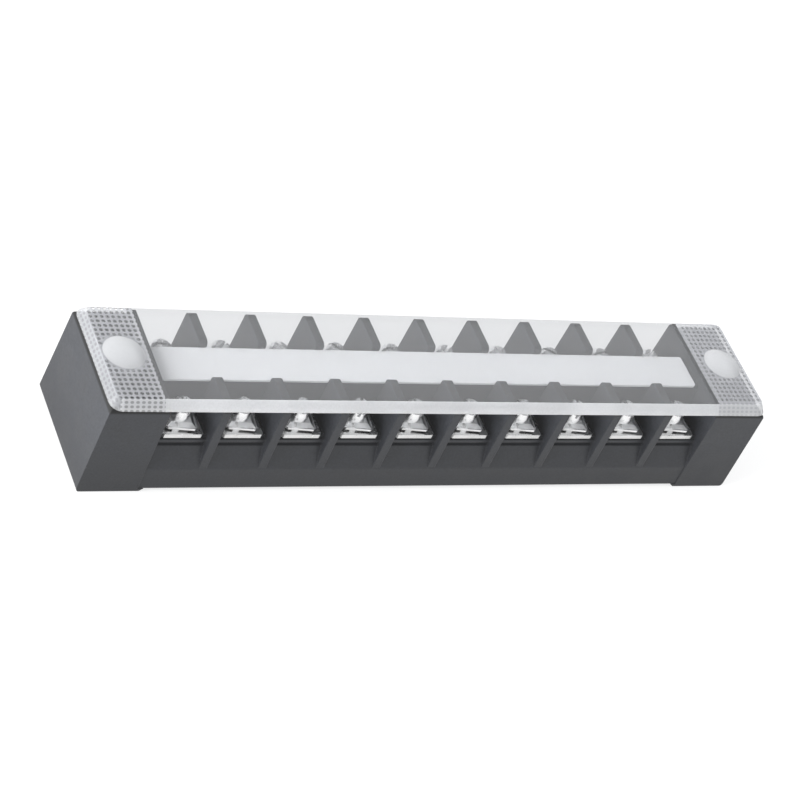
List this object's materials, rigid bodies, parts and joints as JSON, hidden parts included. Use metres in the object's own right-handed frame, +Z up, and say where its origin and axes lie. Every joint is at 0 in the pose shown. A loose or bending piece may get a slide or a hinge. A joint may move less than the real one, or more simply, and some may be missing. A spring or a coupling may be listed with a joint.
{
  "type": "barrier terminal strip",
  "caption": "Double-row barrier terminal strip: dark moulded base, screw terminals with clamp washers, white marking strip and a clear lift-off cover.",
  "frame": {"origin": "middle of the foot plane, under the centre of the strip", "axes": "+X along the row of poles, +Y from the front row to the back row, +Z up through the cover"},
  "size_m": [0.1424, 0.0256, 0.0239],
  "materials": {
    "moulding": "dark moulded thermoset, slightly satin",
    "clear": "clear plastic with frosted edges, frosted buttons and textured ends",
    "marking": "bare white marking strip",
    "plated_brass": "tin plated",
    "plated_steel": "bright nickel plated"
  },
  "bodies": {
    "base": {"base": "moulding", "marking_strip": "marking", "conductor_01": "plated_brass", "conductor_02": "plated_brass", "conductor_03": "plated_brass", "conductor_04": "plated_brass", "conductor_05": "plated_brass", "conductor_06": "plated_brass", "conductor_07": "plated_brass", "conductor_08": "plated_brass", "conductor_09": "plated_brass", "conductor_10": "plated_brass"},
    "cover": {"cover": "clear"},
    "washer_front_01": {"washer_front_01": "plated_steel"},
    "screw_front_01": {"screw_front_01": "plated_steel"},
    "washer_front_02": {"washer_front_02": "plated_steel"},
    "screw_front_02": {"screw_front_02": "plated_steel"},
    "washer_front_03": {"washer_front_03": "plated_steel"},
    "screw_front_03": {"screw_front_03": "plated_steel"},
    "washer_front_04": {"washer_front_04": "plated_steel"},
    "screw_front_04": {"screw_front_04": "plated_steel"},
    "washer_front_05": {"washer_front_05": "plated_steel"},
    "screw_front_05": {"screw_front_05": "plated_steel"},
    "washer_front_06": {"washer_front_06": "plated_steel"},
    "screw_front_06": {"screw_front_06": "plated_steel"},
    "washer_front_07": {"washer_front_07": "plated_steel"},
    "screw_front_07": {"screw_front_07": "plated_steel"},
    "washer_front_08": {"washer_front_08": "plated_steel"},
    "screw_front_08": {"screw_front_08": "plated_steel"},
    "washer_front_09": {"washer_front_09": "plated_steel"},
    "screw_front_09": {"screw_front_09": "plated_steel"},
    "washer_front_10": {"washer_front_10": "plated_steel"},
    "screw_front_10": {"screw_front_10": "plated_steel"},
    "washer_back_01": {"washer_back_01": "plated_steel"},
    "screw_back_01": {"screw_back_01": "plated_steel"},
    "washer_back_02": {"washer_back_02": "plated_steel"},
    "screw_back_02": {"screw_back_02": "plated_steel"},
    "washer_back_03": {"washer_back_03": "plated_steel"},
    "screw_back_03": {"screw_back_03": "plated_steel"},
    "washer_back_04": {"washer_back_04": "plated_steel"},
    "screw_back_04": {"screw_back_04": "plated_steel"},
    "washer_back_05": {"washer_back_05": "plated_steel"},
    "screw_back_05": {"screw_back_05": "plated_steel"},
    "washer_back_06": {"washer_back_06": "plated_steel"},
    "screw_back_06": {"screw_back_06": "plated_steel"},
    "washer_back_07": {"washer_back_07": "plated_steel"},
    "screw_back_07": {"screw_back_07": "plated_steel"},
    "washer_back_08": {"washer_back_08": "plated_steel"},
    "screw_back_08": {"screw_back_08": "plated_steel"},
    "washer_back_09": {"washer_back_09": "plated_steel"},
    "screw_back_09": {"screw_back_09": "plated_steel"},
    "washer_back_10": {"washer_back_10": "plated_steel"},
    "screw_back_10": {"screw_back_10": "plated_steel"}
  },
  "joints": [
    {"name": "cover_lift", "type": "slide", "parent": "base", "child": "cover", "axis": [0, 0, 1], "range_m": [0, 0.03]},
    {"name": "washer_front_01_lift", "type": "slide", "parent": "base", "child": "washer_front_01", "axis": [0, 0, 1], "range_m": [0, 0.0027]},
    {"name": "screw_front_01_turn", "type": "hinge", "parent": "washer_front_01", "child": "screw_front_01", "pos_m": [-0.054, -0.0071, 0.01455], "axis": [0, 0, 1], "range_deg": [0, 2161]},
    {"name": "washer_front_02_lift", "type": "slide", "parent": "base", "child": "washer_front_02", "axis": [0, 0, 1], "range_m": [0, 0.0027]},
    {"name": "screw_front_02_turn", "type": "hinge", "parent": "washer_front_02", "child": "screw_front_02", "pos_m": [-0.042, -0.0071, 0.01455], "axis": [0, 0, 1], "range_deg": [0, 2161]},
    {"name": "washer_front_03_lift", "type": "slide", "parent": "base", "child": "washer_front_03", "axis": [0, 0, 1], "range_m": [0, 0.0027]},
    {"name": "screw_front_03_turn", "type": "hinge", "parent": "washer_front_03", "child": "screw_front_03", "pos_m": [-0.03, -0.0071, 0.01455], "axis": [0, 0, 1], "range_deg": [0, 2161]},
    {"name": "washer_front_04_lift", "type": "slide", "parent": "base", "child": "washer_front_04", "axis": [0, 0, 1], "range_m": [0, 0.0027]},
    {"name": "screw_front_04_turn", "type": "hinge", "parent": "washer_front_04", "child": "screw_front_04", "pos_m": [-0.018, -0.0071, 0.01455], "axis": [0, 0, 1], "range_deg": [0, 2161]},
    {"name": "washer_front_05_lift", "type": "slide", "parent": "base", "child": "washer_front_05", "axis": [0, 0, 1], "range_m": [0, 0.0027]},
    {"name": "screw_front_05_turn", "type": "hinge", "parent": "washer_front_05", "child": "screw_front_05", "pos_m": [-0.006, -0.0071, 0.01455], "axis": [0, 0, 1], "range_deg": [0, 2161]},
    {"name": "washer_front_06_lift", "type": "slide", "parent": "base", "child": "washer_front_06", "axis": [0, 0, 1], "range_m": [0, 0.0027]},
    {"name": "screw_front_06_turn", "type": "hinge", "parent": "washer_front_06", "child": "screw_front_06", "pos_m": [0.006, -0.0071, 0.01455], "axis": [0, 0, 1], "range_deg": [0, 2161]},
    {"name": "washer_front_07_lift", "type": "slide", "parent": "base", "child": "washer_front_07", "axis": [0, 0, 1], "range_m": [0, 0.0027]},
    {"name": "screw_front_07_turn", "type": "hinge", "parent": "washer_front_07", "child": "screw_front_07", "pos_m": [0.018, -0.0071, 0.01455], "axis": [0, 0, 1], "range_deg": [0, 2161]},
    {"name": "washer_front_08_lift", "type": "slide", "parent": "base", "child": "washer_front_08", "axis": [0, 0, 1], "range_m": [0, 0.0027]},
    {"name": "screw_front_08_turn", "type": "hinge", "parent": "washer_front_08", "child": "screw_front_08", "pos_m": [0.03, -0.0071, 0.01455], "axis": [0, 0, 1], "range_deg": [0, 2161]},
    {"name": "washer_front_09_lift", "type": "slide", "parent": "base", "child": "washer_front_09", "axis": [0, 0, 1], "range_m": [0, 0.0027]},
    {"name": "screw_front_09_turn", "type": "hinge", "parent": "washer_front_09", "child": "screw_front_09", "pos_m": [0.042, -0.0071, 0.01455], "axis": [0, 0, 1], "range_deg": [0, 2161]},
    {"name": "washer_front_10_lift", "type": "slide", "parent": "base", "child": "washer_front_10", "axis": [0, 0, 1], "range_m": [0, 0.0027]},
    {"name": "screw_front_10_turn", "type": "hinge", "parent": "washer_front_10", "child": "screw_front_10", "pos_m": [0.054, -0.0071, 0.01455], "axis": [0, 0, 1], "range_deg": [0, 2161]},
    {"name": "washer_back_01_lift", "type": "slide", "parent": "base", "child": "washer_back_01", "axis": [0, 0, 1], "range_m": [0, 0.0027]},
    {"name": "screw_back_01_turn", "type": "hinge", "parent": "washer_back_01", "child": "screw_back_01", "pos_m": [-0.054, 0.0071, 0.01455], "axis": [0, 0, 1], "range_deg": [0, 2161]},
    {"name": "washer_back_02_lift", "type": "slide", "parent": "base", "child": "washer_back_02", "axis": [0, 0, 1], "range_m": [0, 0.0027]},
    {"name": "screw_back_02_turn", "type": "hinge", "parent": "washer_back_02", "child": "screw_back_02", "pos_m": [-0.042, 0.0071, 0.01455], "axis": [0, 0, 1], "range_deg": [0, 2161]},
    {"name": "washer_back_03_lift", "type": "slide", "parent": "base", "child": "washer_back_03", "axis": [0, 0, 1], "range_m": [0, 0.0027]},
    {"name": "screw_back_03_turn", "type": "hinge", "parent": "washer_back_03", "child": "screw_back_03", "pos_m": [-0.03, 0.0071, 0.01455], "axis": [0, 0, 1], "range_deg": [0, 2161]},
    {"name": "washer_back_04_lift", "type": "slide", "parent": "base", "child": "washer_back_04", "axis": [0, 0, 1], "range_m": [0, 0.0027]},
    {"name": "screw_back_04_turn", "type": "hinge", "parent": "washer_back_04", "child": "screw_back_04", "pos_m": [-0.018, 0.0071, 0.01455], "axis": [0, 0, 1], "range_deg": [0, 2161]},
    {"name": "washer_back_05_lift", "type": "slide", "parent": "base", "child": "washer_back_05", "axis": [0, 0, 1], "range_m": [0, 0.0027]},
    {"name": "screw_back_05_turn", "type": "hinge", "parent": "washer_back_05", "child": "screw_back_05", "pos_m": [-0.006, 0.0071, 0.01455], "axis": [0, 0, 1], "range_deg": [0, 2161]},
    {"name": "washer_back_06_lift", "type": "slide", "parent": "base", "child": "washer_back_06", "axis": [0, 0, 1], "range_m": [0, 0.0027]},
    {"name": "screw_back_06_turn", "type": "hinge", "parent": "washer_back_06", "child": "screw_back_06", "pos_m": [0.006, 0.0071, 0.01455], "axis": [0, 0, 1], "range_deg": [0, 2161]},
    {"name": "washer_back_07_lift", "type": "slide", "parent": "base", "child": "washer_back_07", "axis": [0, 0, 1], "range_m": [0, 0.0027]},
    {"name": "screw_back_07_turn", "type": "hinge", "parent": "washer_back_07", "child": "screw_back_07", "pos_m": [0.018, 0.0071, 0.01455], "axis": [0, 0, 1], "range_deg": [0, 2161]},
    {"name": "washer_back_08_lift", "type": "slide", "parent": "base", "child": "washer_back_08", "axis": [0, 0, 1], "range_m": [0, 0.0027]},
    {"name": "screw_back_08_turn", "type": "hinge", "parent": "washer_back_08", "child": "screw_back_08", "pos_m": [0.03, 0.0071, 0.01455], "axis": [0, 0, 1], "range_deg": [0, 2161]},
    {"name": "washer_back_09_lift", "type": "slide", "parent": "base", "child": "washer_back_09", "axis": [0, 0, 1], "range_m": [0, 0.0027]},
    {"name": "screw_back_09_turn", "type": "hinge", "parent": "washer_back_09", "child": "screw_back_09", "pos_m": [0.042, 0.0071, 0.01455], "axis": [0, 0, 1], "range_deg": [0, 2161]},
    {"name": "washer_back_10_lift", "type": "slide", "parent": "base", "child": "washer_back_10", "axis": [0, 0, 1], "range_m": [0, 0.0027]},
    {"name": "screw_back_10_turn", "type": "hinge", "parent": "washer_back_10", "child": "screw_back_10", "pos_m": [0.054, 0.0071, 0.01455], "axis": [0, 0, 1], "range_deg": [0, 2161]}
  ],
  "couplings": [
    {"joint": "screw_front_01_turn", "follows": "washer_front_01_lift", "rad_per_m": 13963},
    {"joint": "screw_front_02_turn", "follows": "washer_front_02_lift", "rad_per_m": 13963},
    {"joint": "screw_front_03_turn", "follows": "washer_front_03_lift", "rad_per_m": 13963},
    {"joint": "screw_front_04_turn", "follows": "washer_front_04_lift", "rad_per_m": 13963},
    {"joint": "screw_front_05_turn", "follows": "washer_front_05_lift", "rad_per_m": 13963},
    {"joint": "screw_front_06_turn", "follows": "washer_front_06_lift", "rad_per_m": 13963},
    {"joint": "screw_front_07_turn", "follows": "washer_front_07_lift", "rad_per_m": 13963},
    {"joint": "screw_front_08_turn", "follows": "washer_front_08_lift", "rad_per_m": 13963},
    {"joint": "screw_front_09_turn", "follows": "washer_front_09_lift", "rad_per_m": 13963},
    {"joint": "screw_front_10_turn", "follows": "washer_front_10_lift", "rad_per_m": 13963},
    {"joint": "screw_back_01_turn", "follows": "washer_back_01_lift", "rad_per_m": 13963},
    {"joint": "screw_back_02_turn", "follows": "washer_back_02_lift", "rad_per_m": 13963},
    {"joint": "screw_back_03_turn", "follows": "washer_back_03_lift", "rad_per_m": 13963},
    {"joint": "screw_back_04_turn", "follows": "washer_back_04_lift", "rad_per_m": 13963},
    {"joint": "screw_back_05_turn", "follows": "washer_back_05_lift", "rad_per_m": 13963},
    {"joint": "screw_back_06_turn", "follows": "washer_back_06_lift", "rad_per_m": 13963},
    {"joint": "screw_back_07_turn", "follows": "washer_back_07_lift", "rad_per_m": 13963},
    {"joint": "screw_back_08_turn", "follows": "washer_back_08_lift", "rad_per_m": 13963},
    {"joint": "screw_back_09_turn", "follows": "washer_back_09_lift", "rad_per_m": 13963},
    {"joint": "screw_back_10_turn", "follows": "washer_back_10_lift", "rad_per_m": 13963}
  ]
}
